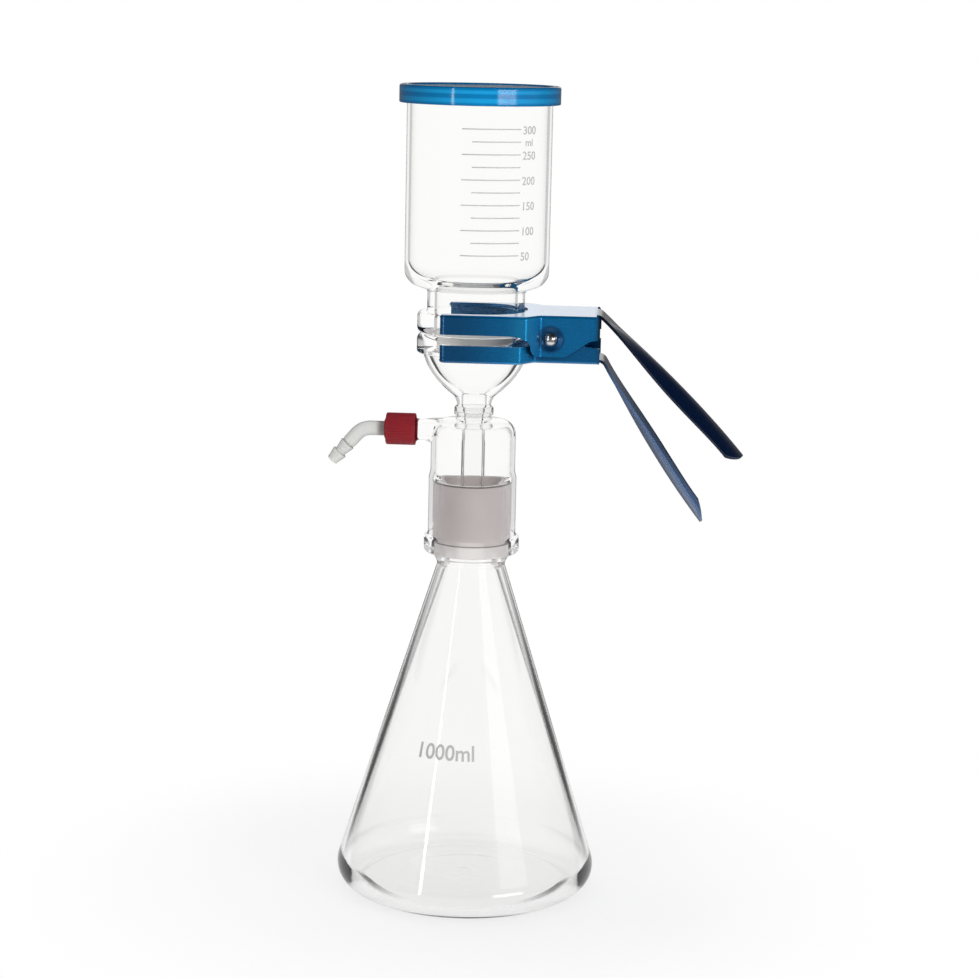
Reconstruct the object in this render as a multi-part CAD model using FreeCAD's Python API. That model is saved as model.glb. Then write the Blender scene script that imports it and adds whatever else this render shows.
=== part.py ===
import FreeCAD, Part
import math
import os

from FreeCAD import Vector

os.makedirs("parts", exist_ok=True)

# Glass vacuum filtration unit, in millimetres.
# +Z runs up the common axis of the glassware, and the origin is on that axis in the
# plane that the flask's foot stands on. The vacuum side arm points along -X, and the
# handles of the clamp point along +X.

# Flask: conical, blown in one piece, with a male ground cone on its neck
cone_base_radius = 73.8        # where the side of the cone would meet the bench
waist_radius = 17.7            # narrowest place, just under the ground cone
waist_height = 178.2
heel_radius = 12.5
flask_wall = 3.0
flask_floor = 3.6
foot_radius = 38.0             # inner edge of the ring that the flask stands on
punt_rise = 1.4                # the middle of the base is drawn up by this much
neck_bore_radius = 14.2
cone_bore_radius = 14.9

# Ground joint, 40/38, with a taper of 1 in 10 on diameter
joint_radius = 20.0            # large end, at the bottom
joint_length = 38.0
joint_rise = 5.8               # from the waist to the start of the joint
joint_taper = 0.05             # on radius
joint_clearance = 0.05

# Filter head: a ground sleeve with its vacuum chamber, and the bowl with its drip tube.
# The tube is ring sealed into a hole in the chamber's dome.
sleeve_radius = 23.2
sleeve_rim_radius = 25.2
sleeve_rim_height = 8.6
chamber_radius = 22.3
chamber_wall = 2.6
chamber_height = 32.8          # from the top of the ground joint
stem_radius = 9.0
stem_bore_radius = 6.1
bead_radius = 10.3
bead_height = 5.0
bead_rise = 2.4                # from the chamber to the bead on the stem
drip_radius = 5.9
drip_bore_radius = 4.6
drip_tip_rise = 5.0            # the tube ends this far above the joint's large end
stem_length = 11.2             # from the chamber to the bowl, outside
bowl_radius = 27.0             # at the flange
bowl_knee_radius = 20.5        # where the side turns in towards the stem
bowl_knee_rise = 13.0          # from the stem to that knee
bowl_side_rise = 22.5          # from the stem to where the side starts to slope
bowl_wall = 2.7
bowl_fillet = 0.8              # where the bowl meets its flange
bowl_height = 34.6             # from the stem to the ground face under the membrane

# Flanges that the clamp holds together
flange_radius = 30.6
lower_flange_thickness = 10.1
upper_flange_thickness = 11.1
flange_edge_radius = 3.2
membrane_gap = 0.15            # room for a membrane filter between the ground faces

# Sintered glass disc
disc_radius = 20.5
disc_thickness = 4.5
disc_clearance = 0.05
disc_ledge = 1.8

# Funnel: graduated cup of 300 ml, on a thick neck
cup_radius = 37.7
cup_wall = 2.4
neck_radius = 25.5
throat_radius = 20.9
neck_fillet = 1.2              # where the neck meets its flange
neck_length = 11.55            # from the flange to the shoulder, outside
shoulder_rise = 4.2
throat_depth = 3.6             # glass between the shoulder and the floor of the cup
cup_height = 103.2             # from the shoulder to the rim

# Lid: soft moulded cap over the rim of the cup
lid_radius = 41.7
lid_top = 2.4
lid_skirt = 9.4                # height of the lid over all
lid_clearance = 0.3
lid_edge_radius = 1.2
lid_plug_wall = 1.6
lid_plug_depth = 3.0           # ring that stands just inside the rim

# Side arm with a GL14 thread, its screw cap, seal and bent hose connector
arm_drop = 6.1                 # from the chamber's top down to the arm's axis
arm_radius = 5.5
arm_bore_radius = 3.6
arm_flare_radius = 8.6
arm_flare_length = 5.0
arm_end = 41.1                 # from the axis to the end face of the arm
thread_core_radius = 6.3
thread_radius = 7.0
thread_length = 11.0
thread_pitch = 2.5
thread_height = 1.0            # width of the ridge along the arm
socket_radius = 4.8
socket_depth = 8.0
seal_thickness = 1.5
seal_outer_radius = 6.2
cap_radius = 8.45
cap_length = 15.6
cap_end = 1.8
cap_boss_radius = 5.2
cap_boss_length = 0.8
cap_rib_count = 36
cap_rib_depth = 0.2
cap_clearance = 0.3            # between the cap and what turns inside it
collar_thickness = 1.7
collar_radius = 6.1
stub_length = 6.0
hose_radius = 3.85
hose_bore_radius = 2.2
hose_straight = 7.3            # from the face of the cap's boss to the bend
hose_bend_radius = 10.0
hose_bend_angle = 48.0
hose_outlet = 19.6
barb_radius = 4.15
barb_waist_radius = 3.1
barb_pitch = 6.2
barb_count = 2

# Clamp: two stamped jaws on one pivot, each folded from sheet, pressed shut by a spring
sheet = 1.5
jaw_gap = 0.2                  # between a jaw and the flange that it bears on
jaw_half_width = 33.5          # outside, over the prongs
ear_half_width = 25.0          # outside, over the upper jaw's ears
ear_gap = 0.3                  # between the ears of the two jaws
jaw_front = 16.7               # how far the prongs reach past the axis
jaw_rear = 65.5                # where the folded sides end
upper_bend_x = 63.5            # where the upper plate turns down into its handle
lower_bend_x = 64.8            # and the lower one
fork_clearance = 0.3           # between a fork and the fillet of the glass in it
upper_skirt = 10.1             # depth of the folded sides
lower_skirt = 9.1
upper_step = 28.0              # where the sides start to step in to the ears
upper_step_length = 7.0
lower_step = 25.2
lower_step_length = 6.8
prong_corner = 3.0
fold_radius = 1.6
pivot_x = 40.1
pivot_rise = 0.3               # from the middle of the two flanges up to the pivot
ear_radius = 9.2
pin_radius = 2.0
pin_clearance = 0.05
pin_head_radius = 3.35
pin_head_height = 1.7
dish_radius = 6.2
dish_depth = 0.6
handle_bend_radius = 5.0
handle_half_width = 16.5
handle_root_half_width = 14.0
handle_bow = 2.4               # how far a handle arches along its length
handle_tip_radius = 16.0
upper_handle_sag = 6.4         # how deep the trough of a handle is
upper_handle_angle = 43.8
upper_handle_length = 104.0
lower_handle_sag = 4.2
lower_handle_angle = 57.6
lower_handle_length = 98.5
spring_wire_radius = 0.8
spring_radius = 4.4
spring_turns = 6
spring_pitch = 1.9
spring_gap = 0.1               # between a leg of the spring and the jaw it presses on
spring_reach = 19.0            # length of a leg, measured along the jaw

# Heights that follow from the sizes above
joint_bottom = waist_height + joint_rise
joint_top = joint_bottom + joint_length
chamber_top = joint_top + chamber_height
arm_height = chamber_top - arm_drop
drip_tip = joint_bottom + drip_tip_rise
bead_bottom = chamber_top + bead_rise
bowl_bottom = chamber_top + stem_length
contact_height = bowl_bottom + bowl_height
cone_slope = (cone_base_radius - waist_radius) / waist_height
inner_cone_shift = flask_wall * math.hypot(1.0, cone_slope)
lower_flange_bottom = contact_height - lower_flange_thickness
funnel_face = contact_height + membrane_gap
upper_flange_top = funnel_face + upper_flange_thickness
shoulder_height = upper_flange_top + neck_length
cup_rim_height = shoulder_height + cup_height
pivot_z = (lower_flange_bottom + upper_flange_top) / 2.0 + pivot_rise
upper_plate_top = upper_flange_top + jaw_gap + sheet
lower_plate_bottom = lower_flange_bottom - jaw_gap - sheet


def corner_edges(corners, to_space):
    """Edges of a closed outline whose corners (u, v, fillet radius) are rounded."""
    count = len(corners)
    points = [Vector(u, v, 0) for u, v, _ in corners]
    starts, ends, mids = [], [], []
    for i in range(count):
        here = points[i]
        back = points[i - 1] - here
        ahead = points[(i + 1) % count] - here
        room = 0.48 * min(back.Length, ahead.Length)
        back.normalize()
        ahead.normalize()
        half_angle = back.getAngle(ahead) / 2.0
        radius = corners[i][2]
        straight = math.pi / 2.0 - half_angle < 1e-4
        reach = 0.0 if straight else min(radius / math.tan(half_angle), room)
        starts.append(here + back * reach)
        ends.append(here + ahead * reach)
        if reach > 1e-6:
            fitted = reach * math.tan(half_angle)
            inward = (back + ahead).normalize()
            mids.append(here + inward * (fitted / math.sin(half_angle) - fitted))
        else:
            mids.append(None)
    edges = []
    for i in range(count):
        if mids[i] is not None:
            arc = Part.Arc(to_space(starts[i]), to_space(mids[i]), to_space(ends[i]))
            edges.append(arc.toShape())
        following = starts[(i + 1) % count]
        if (following - ends[i]).Length > 1e-6:
            edges.append(Part.LineSegment(to_space(ends[i]), to_space(following)).toShape())
    return edges


def outline(corners, to_space):
    return Part.Face(Part.Wire(corner_edges(corners, to_space)))


def upright(point):
    return Vector(point.x, 0, point.y)


def level(point):
    return Vector(point.x, point.y, 0)


def lathe(corners):
    """Solid of revolution about the glassware's axis, from corners (r, z, fillet)."""
    return outline(corners, upright).revolve(Vector(0, 0, 0), Vector(0, 0, 1), 360)


def lathe_along_arm(corners):
    """Solid of revolution about the side arm, from corners (distance out, r, fillet)."""
    def to_space(point):
        return Vector(-point.x, 0, arm_height + point.y)
    return outline(corners, to_space).revolve(Vector(0, 0, arm_height), Vector(1, 0, 0), 360)


def save(name, shape):
    shape = shape.removeSplitter()
    if shape.ShapeType != "Solid":
        shape = shape.Solids[0]
    shape.exportStep("parts/" + name + ".step")
    print(name, "valid" if shape.isValid() else "NOT VALID", round(shape.Volume, 1))
    return shape


def cone_radius(height):
    """Outside radius of the flask's conical side at a height."""
    return cone_base_radius - cone_slope * height


def joint_radius_at(height):
    return joint_radius - joint_taper * (height - joint_bottom)


def make_flask():
    floor = flask_floor
    collar_bottom = joint_bottom - 1.8
    return lathe([
        (0, punt_rise, 0),
        (foot_radius, 0, 60),
        (cone_base_radius, 0, heel_radius),
        (cone_radius(waist_height), waist_height, 4),
        (joint_radius, collar_bottom, 1.0),
        (joint_radius, joint_bottom, 0),
        (joint_radius_at(joint_top), joint_top, 1.0),
        (cone_bore_radius, joint_top, 1.0),
        (neck_bore_radius, waist_height, 6),
        (cone_radius(floor) - inner_cone_shift, floor, heel_radius - flask_wall + 1.5),
        (foot_radius, floor, 60),
        (0, floor + punt_rise, 0),
    ])


def make_filter_bowl():
    """Bowl with its flange, stem and drip tube, as it is before it is sealed in."""
    seat_radius = disc_radius + disc_clearance
    ledge_height = contact_height - disc_thickness
    bore_radius = seat_radius - disc_ledge
    side_height = bowl_bottom + bowl_side_rise
    knee_height = bowl_bottom + bowl_knee_rise
    bowl_bore = bowl_radius - bowl_wall
    return lathe([
        (seat_radius, contact_height, 0.3),
        (flange_radius, contact_height, flange_edge_radius),
        (flange_radius, lower_flange_bottom, 1.2),
        (bowl_radius, lower_flange_bottom, bowl_fillet),
        (bowl_radius, side_height, 8),
        (bowl_knee_radius, knee_height, 22),
        (stem_radius, bowl_bottom - 0.6, 4),
        (stem_radius, bead_bottom + bead_height, 0.6),
        (bead_radius, bead_bottom + bead_height - 0.6, 1.2),
        (bead_radius, bead_bottom + 0.4, 1.2),
        (stem_radius, bead_bottom, 0.6),
        (stem_radius, chamber_top - chamber_wall, 0),
        (drip_radius, chamber_top - chamber_wall, 2.0),
        (drip_radius, drip_tip, 0.6),
        (drip_bore_radius, drip_tip, 0.6),
        (drip_bore_radius, bead_bottom, 2),
        (stem_bore_radius, bead_bottom + bead_height, 2),
        (stem_bore_radius, bowl_bottom + 0.1, 5),
        (bowl_knee_radius - 0.83 * bowl_wall, knee_height + 0.57 * bowl_wall, 20),
        (bowl_bore, side_height + 0.8, 6),
        (bowl_bore, lower_flange_bottom + 0.6, 1.5),
        (bore_radius, lower_flange_bottom + 3.0, 1.5),
        (bore_radius, ledge_height, 0.3),
        (seat_radius, ledge_height, 0),
    ])


def make_vacuum_chamber():
    """Sleeve, chamber and side arm, with the hole in the dome that the stem is sealed in."""
    chamber_bore = chamber_radius - chamber_wall
    glass = lathe([
        (stem_radius, chamber_top + 0.4, 0),
        (chamber_radius, chamber_top - 0.8, 7.5),
        (chamber_radius, joint_top + 6.0, 4),
        (sleeve_radius, joint_top + 2.0, 4),
        (sleeve_radius, joint_bottom + sleeve_rim_height + 0.8, 1.2),
        (sleeve_rim_radius, joint_bottom + sleeve_rim_height, 1.2),
        (sleeve_rim_radius, joint_bottom, 2.4),
        (joint_radius + joint_clearance, joint_bottom, 0.4),
        (joint_radius_at(joint_top + 1.0) + joint_clearance, joint_top + 1.0, 0.8),
        (chamber_bore, joint_top + 4.0, 1.5),
        (chamber_bore, chamber_top - chamber_wall - 0.8, 5.5),
        (stem_radius, chamber_top - chamber_wall, 0),
    ])
    # The arm is blown out of the chamber's shoulder, so its root flares
    root = chamber_bore
    flare_end = chamber_radius + arm_flare_length
    thread_start = arm_end - thread_length
    arm = lathe_along_arm([
        (root - 6.0, 0, 0),
        (root - 6.0, arm_flare_radius, 0),
        (chamber_radius - 2.6, arm_flare_radius, 0),
        (flare_end - 2.0, arm_radius, 5),
        (thread_start - 1.0, arm_radius, 1.0),
        (thread_start, thread_core_radius, 0.6),
        (arm_end, thread_core_radius, 0.8),
        (arm_end, 0, 0),
    ])
    for turn in range(int((thread_length - 2.0) / thread_pitch)):
        start = arm_end - 1.4 - thread_pitch * turn - thread_height
        arm = arm.fuse(lathe_along_arm([
            (start - 0.5, thread_core_radius - 0.4, 0),
            (start, thread_radius, 0.3),
            (start + thread_height, thread_radius, 0.3),
            (start + thread_height + 0.5, thread_core_radius - 0.4, 0),
        ]))
    bore = lathe_along_arm([
        (drip_radius + 3.0, 0, 0),
        (drip_radius + 3.0, arm_bore_radius, 0),
        (arm_end - socket_depth - 1.2, arm_bore_radius, 0),
        (arm_end - socket_depth, socket_radius, 0),
        (arm_end + 1.0, socket_radius, 0),
        (arm_end + 1.0, 0, 0),
    ])
    # What the arm's root would fill inside the chamber is taken away before it is joined
    dome = lathe([
        (0, joint_top, 0),
        (chamber_bore, joint_top, 0),
        (chamber_bore, chamber_top - chamber_wall - 0.8, 5.5),
        (drip_radius, chamber_top - chamber_wall, 0),
        (0, chamber_top - chamber_wall, 0),
    ])
    roof = Part.makeBox(4 * arm_end, 4 * arm_end, arm_end,
                        Vector(-2 * arm_end, -2 * arm_end, chamber_top - 0.6))
    return glass.fuse(arm.cut(dome).cut(roof)).cut(bore)


def make_disc():
    top = contact_height
    bottom = contact_height - disc_thickness
    return lathe([
        (0, bottom, 0),
        (disc_radius, bottom, 0.3),
        (disc_radius, top, 0.3),
        (0, top, 0),
    ])


def make_funnel():
    cup_bore = cup_radius - cup_wall
    floor_rise = shoulder_rise * (cup_bore - throat_radius) / (cup_radius - neck_radius)
    return lathe([
        (throat_radius, funnel_face, 0.5),
        (flange_radius, funnel_face, flange_edge_radius),
        (flange_radius, upper_flange_top, 2.2),
        (neck_radius, upper_flange_top, neck_fillet),
        (neck_radius, shoulder_height, 2.5),
        (cup_radius, shoulder_height + shoulder_rise, 13),
        (cup_radius, cup_rim_height, 1.1),
        (cup_bore, cup_rim_height, 1.1),
        (cup_bore, shoulder_height + throat_depth + floor_rise, 10.8),
        (throat_radius, shoulder_height + throat_depth, 2.5),
    ])


def make_lid():
    plate = cup_rim_height + 0.1
    top = plate + lid_top
    skirt_bore = cup_radius + lid_clearance
    plug = cup_radius - cup_wall - lid_clearance
    return lathe([
        (0, plate, 0),
        (plug - lid_plug_wall, plate, 0.4),
        (plug - lid_plug_wall, plate - lid_plug_depth, 0.4),
        (plug, plate - lid_plug_depth, 0.4),
        (plug, plate, 0.3),
        (skirt_bore, plate, 0.3),
        (skirt_bore, top - lid_skirt, 0.5),
        (lid_radius, top - lid_skirt, 0.6),
        (lid_radius, top, lid_edge_radius),
        (lid_radius - 3.4, top, 0.4),
        (lid_radius - 3.9, top - 0.6, 0.3),
        (0, top - 0.6, 0),
    ])


def make_screw_cap():
    open_end = arm_end + seal_thickness + collar_thickness + 0.1 + cap_end - cap_length
    inner_face = open_end + cap_length - cap_end
    closed_end = open_end + cap_length
    hole = hose_radius + cap_clearance
    cap_bore = thread_radius + cap_clearance
    cap = lathe_along_arm([
        (open_end, cap_bore, 0.3),
        (open_end, cap_radius, 0.8),
        (closed_end, cap_radius, 0.8),
        (closed_end, cap_boss_radius, 0.4),
        (closed_end + cap_boss_length, cap_boss_radius, 0.4),
        (closed_end + cap_boss_length, hole, 0.3),
        (inner_face, hole, 0.2),
        (inner_face, cap_bore, 0.4),
    ])
    # Grip grooves, shallow flats milled round the side of the cap
    for index in range(cap_rib_count):
        groove = Part.makeCylinder(
            cap_rib_depth * 2.0, cap_length - 3.6,
            Vector(-(open_end + cap_length - 1.4), 0, arm_height + cap_radius + cap_rib_depth),
            Vector(1, 0, 0))
        groove.rotate(Vector(0, 0, arm_height), Vector(1, 0, 0), 360.0 * index / cap_rib_count)
        cap = cap.cut(groove)
    return cap


def make_seal():
    return lathe_along_arm([
        (arm_end, socket_radius, 0.2),
        (arm_end, seal_outer_radius, 0.3),
        (arm_end + seal_thickness, seal_outer_radius, 0.3),
        (arm_end + seal_thickness, socket_radius, 0.2),
    ])


def make_hose_connector():
    collar_start = arm_end + seal_thickness
    boss_face = collar_start + collar_thickness + 0.1 + cap_end + cap_boss_length
    bend_start = boss_face + hose_straight
    stub_radius = socket_radius - cap_clearance
    stub_start = collar_start - stub_length
    body = lathe_along_arm([
        (stub_start, 0, 0),
        (stub_start, stub_radius, 0.4),
        (collar_start, stub_radius, 0),
        (collar_start, collar_radius, 0.3),
        (collar_start + collar_thickness, collar_radius, 0.3),
        (collar_start + collar_thickness, hose_radius, 0.3),
        (bend_start, hose_radius, 0),
        (bend_start, 0, 0),
    ])
    bore = lathe_along_arm([
        (stub_start - 1.0, 0, 0),
        (stub_start - 1.0, hose_bore_radius, 0),
        (bend_start, hose_bore_radius, 0),
        (bend_start, 0, 0),
    ])
    centre = Vector(-bend_start, 0, arm_height - hose_bend_radius)
    middle = Vector(-bend_start, 0, arm_height)

    def bend(radius):
        section = Part.Face(Part.Wire(Part.makeCircle(radius, middle, Vector(1, 0, 0))))
        return section.revolve(centre, Vector(0, -1, 0), hose_bend_angle)

    def outlet(corners):
        face = outline(corners, lambda point: Vector(-bend_start - point.x, 0, arm_height + point.y))
        shape = face.revolve(Vector(0, 0, arm_height), Vector(1, 0, 0), 360)
        shape.rotate(centre, Vector(0, -1, 0), hose_bend_angle)
        return shape

    first_barb = hose_outlet - barb_pitch * barb_count
    corners = [(0, 0, 0), (0, hose_radius, 0), (first_barb - 1.2, hose_radius - 0.1, 0.4)]
    for index in range(barb_count):
        start = first_barb + barb_pitch * index
        corners.append((start, barb_waist_radius, 0.2))
        corners.append((start, barb_radius, 0.3))
        corners.append((start + barb_pitch - 1.2, barb_waist_radius, 0.4))
    corners.append((hose_outlet, barb_waist_radius - 0.1, 0.4))
    corners.append((hose_outlet, 0, 0))
    through = [(0, 0, 0), (0, hose_bore_radius, 0), (hose_outlet + 1, hose_bore_radius, 0),
               (hose_outlet + 1, 0, 0)]
    solid = body.fuse(bend(hose_radius)).fuse(outlet(corners))
    return solid.cut(bore).cut(bend(hose_bore_radius)).cut(outlet(through))


def jaw_plan(step, step_length, ear_width, inset, overrun):
    """Plan of a folded jaw, drawn in from its outside face by inset."""
    slope = math.atan2(jaw_half_width - ear_width, step_length)
    shift = inset * math.tan(slope / 2.0)
    front = -jaw_front - overrun
    rear = jaw_rear + overrun
    wide = jaw_half_width - inset
    narrow = ear_width - inset
    corner = 0 if overrun else prong_corner
    return [
        (front, -wide, corner),
        (step - shift, -wide, 2.0),
        (step + step_length - shift, -narrow, 2.0),
        (rear, -narrow, 0),
        (rear, narrow, 0),
        (step + step_length - shift, narrow, 2.0),
        (step - shift, wide, 2.0),
        (front, wide, corner),
    ]


def prism(face, bottom, top):
    face = face.copy()
    face.translate(Vector(0, 0, bottom))
    return face.extrude(Vector(0, 0, top - bottom))


def folded_tray(step, step_length, ear_width, fork_radius, bottom, top, plate_on_top):
    """A plate with its two long sides folded over, open at both ends, with its fork cut."""
    tray = prism(outline(jaw_plan(step, step_length, ear_width, 0, 0), level), bottom, top)
    face_height = top if plate_on_top else bottom
    folds = []
    for edge in tray.Edges:
        ends = [vertex.Point for vertex in edge.Vertexes]
        on_face = all(abs(point.z - face_height) < 1e-6 for point in ends)
        on_side = all(abs(point.y) > ear_width - 0.01 for point in ends)
        across = abs(ends[0].y - ends[-1].y) > ear_width
        if on_face and on_side and not across:
            folds.append(edge)
    tray = tray.makeFillet(fold_radius, folds)
    inside = outline(jaw_plan(step, step_length, ear_width, sheet, 20.0), level)
    if plate_on_top:
        hollow = prism(inside, bottom - 1.0, top - sheet)
    else:
        hollow = prism(inside, bottom + sheet, top + 1.0)
    fork = prism(outline([
        (-jaw_front - 5.0, -fork_radius, 0),
        (fork_radius, -fork_radius, fork_radius),
        (fork_radius, fork_radius, fork_radius),
        (-jaw_front - 5.0, fork_radius, 0),
    ], level), bottom - 2.0, top + 2.0)
    return tray.cut(hollow).cut(fork)


def side_view_prism(corners):
    """Prism as wide as the clamp, from corners (x, z, fillet) in its side view."""
    face = outline(corners, upright)
    face.translate(Vector(0, -jaw_half_width - 5.0, 0))
    return face.extrude(Vector(0, 2 * jaw_half_width + 10.0, 0))


def crescent(origin, crown, half_width, sag):
    """Closed section of a trough, with its edges square to the sheet."""
    edge_slope = math.atan2(2.0 * sag, half_width)
    drop = sag + sheet * math.cos(edge_slope)
    narrow = half_width - sheet * math.sin(edge_slope)
    across = Vector(0, 1, 0)

    def curve(width, low, apex):
        control = 2.0 * apex + low
        poles = [origin - across * width - crown * low,
                 origin + crown * control,
                 origin + across * width - crown * low]
        bezier = Part.BezierCurve()
        bezier.setPoles(poles)
        return bezier.toShape(), poles[0], poles[2]

    outer, outer_left, outer_right = curve(half_width, sag, 0.0)
    inner, inner_left, inner_right = curve(narrow, drop, -sheet)
    left = Part.LineSegment(outer_left, inner_left).toShape()
    right = Part.LineSegment(inner_right, outer_right).toShape()
    return Part.Wire([outer, right, inner, left])


def make_handle(bend_x, crown_height, crown_up, sag, angle, length):
    """Handle that leaves a plate at bend_x, bends down and becomes a trough."""
    turn = math.radians(angle)
    way = Vector(math.cos(turn), 0, -math.sin(turn))
    side = 1.0 if crown_up else -1.0
    crown = Vector(math.sin(turn), 0, math.cos(turn)) * side
    plate_top = crown_height if crown_up else crown_height + sheet
    centre = Vector(bend_x, 0, plate_top - handle_bend_radius)
    root = Part.Face(Part.makePolygon([
        Vector(bend_x, -handle_root_half_width, plate_top),
        Vector(bend_x, handle_root_half_width, plate_top),
        Vector(bend_x, handle_root_half_width, plate_top - sheet),
        Vector(bend_x, -handle_root_half_width, plate_top - sheet),
        Vector(bend_x, -handle_root_half_width, plate_top),
    ]))
    bend = root.revolve(centre, Vector(0, 1, 0), angle)
    bent = FreeCAD.Rotation(Vector(0, 1, 0), angle)
    start = centre + bent.multVec(Vector(bend_x, 0, crown_height) - centre)
    widen = handle_half_width - handle_root_half_width
    # Shares of the length, the widening, the depth and the arch, from root to tip
    stations = [(0.0, 0.0, 0.0, 0.0), (0.12, 0.3, 0.2, 0.45), (0.35, 0.8, 0.75, 0.95),
                (0.65, 1.0, 1.0, 0.95), (1.0, 1.0, 1.0, 0.0)]
    sections = []
    for along, wider, deeper, arched in stations:
        place = start + way * (length * along) + crown * (handle_bow * arched)
        half_width = handle_root_half_width + widen * wider
        sections.append(crescent(place, crown, half_width, sag * deeper))
    trough = Part.makeLoft(sections, True, False)
    # The tip is rounded in the plane of the handle
    margin = 2.0
    reach = sag + sheet + handle_bow + 2 * margin
    face = outline([
        (-margin, -handle_half_width - margin, 0),
        (length, -handle_half_width - margin, handle_tip_radius + margin),
        (length, handle_half_width + margin, handle_tip_radius + margin),
        (-margin, handle_half_width + margin, 0),
    ], lambda point: start + way * point.x + Vector(0, point.y, 0) + crown * reach)
    trough = trough.common(face.extrude(crown * (-2.0 * reach)))
    return bend.fuse(trough)


def bend_relief(bend_x, half_width, bottom):
    """Behind its bend a plate is cut away between its two folded sides."""
    corner = Vector(bend_x, -half_width, bottom)
    return Part.makeBox(jaw_rear - bend_x + 1.0, 2 * half_width, sheet + 1.0, corner)


def pivot_holes(half_width, radius):
    return Part.makeCylinder(radius, 2 * half_width + 10.0,
                             Vector(pivot_x, -half_width - 5.0, pivot_z), Vector(0, 1, 0))


def make_upper_jaw():
    bottom = pivot_z - ear_radius
    skirt = upper_plate_top - upper_skirt
    fork = neck_radius + neck_fillet + fork_clearance
    tray = folded_tray(upper_step, upper_step_length, ear_half_width, fork,
                       bottom, upper_plate_top, True)
    tray = tray.common(side_view_prism([
        (-jaw_front - 1.0, upper_plate_top + 1.0, 0),
        (-jaw_front - 1.0, skirt, 0),
        (upper_step - 5.0, skirt, 3),
        (upper_step + 1.5, pivot_z - 0.8, 3),
        (upper_step + 3.0, bottom, 7),
        (pivot_x + ear_radius - 1.5, bottom, 7),
        (jaw_rear - 5.0, pivot_z - 0.6, 4),
        (jaw_rear + 1.0, pivot_z + 0.4, 0),
        (jaw_rear + 1.0, upper_plate_top - 4.0, 0),
        (upper_bend_x + 0.3, upper_plate_top + 1.0, 0),
    ]))
    tray = tray.cut(pivot_holes(ear_half_width, pin_radius))
    for side in (-1, 1):
        dish = Part.makeCone(dish_radius, dish_radius - 2.0, dish_depth,
                             Vector(pivot_x, side * ear_half_width, pivot_z), Vector(0, -side, 0))
        tray = tray.cut(dish)
    tray = tray.cut(bend_relief(upper_bend_x, ear_half_width - sheet, upper_plate_top - sheet))
    handle = make_handle(upper_bend_x, upper_plate_top, True, upper_handle_sag,
                         upper_handle_angle, upper_handle_length)
    return tray.fuse(handle)


def make_lower_jaw():
    # The inner ears are a little lower, so that the upper plate clears them when squeezed
    top = pivot_z + ear_radius - 0.9
    skirt = lower_plate_bottom + lower_skirt
    ear_width = ear_half_width - sheet - ear_gap
    fork = bowl_radius + bowl_fillet + fork_clearance
    tray = folded_tray(lower_step, lower_step_length, ear_width, fork,
                       lower_plate_bottom, top, False)
    tray = tray.common(side_view_prism([
        (-jaw_front - 1.0, lower_plate_bottom - 1.0, 0),
        (jaw_rear + 1.0, lower_plate_bottom - 1.0, 0),
        (jaw_rear + 1.0, skirt - 1.0, 0),
        (pivot_x + ear_radius + 8.0, skirt, 4),
        (pivot_x + ear_radius, top, 8),
        (pivot_x - ear_radius + 1.2, top, 8),
        (lower_step + lower_step_length - 1.9, skirt, 2),
        (-jaw_front - 1.0, skirt, 0),
    ]))
    tray = tray.cut(pivot_holes(ear_width, pin_radius + pin_clearance))
    tray = tray.cut(bend_relief(lower_bend_x, ear_width - sheet, lower_plate_bottom - 1.0))
    handle = make_handle(lower_bend_x, lower_plate_bottom, False, lower_handle_sag,
                         lower_handle_angle, lower_handle_length)
    return tray.fuse(handle)


def make_pin():
    """Rivet across the ears, with a domed head in each dish."""
    seat = ear_half_width - dish_depth
    bulge = (pin_head_radius ** 2 + pin_head_height ** 2) / (2.0 * pin_head_height)
    pin = Part.makeCylinder(pin_radius, 2 * seat, Vector(pivot_x, -seat, pivot_z), Vector(0, 1, 0))
    for side in (-1, 1):
        centre = Vector(pivot_x, side * (seat + pin_head_height - bulge), pivot_z)
        ball = Part.makeSphere(bulge, centre, Vector(0, 1, 0))
        slab = Part.makeCylinder(bulge + 1.0, bulge * 2.0, Vector(pivot_x, side * seat, pivot_z),
                                 Vector(0, side, 0))
        pin = pin.fuse(ball.common(slab))
    return pin


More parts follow.
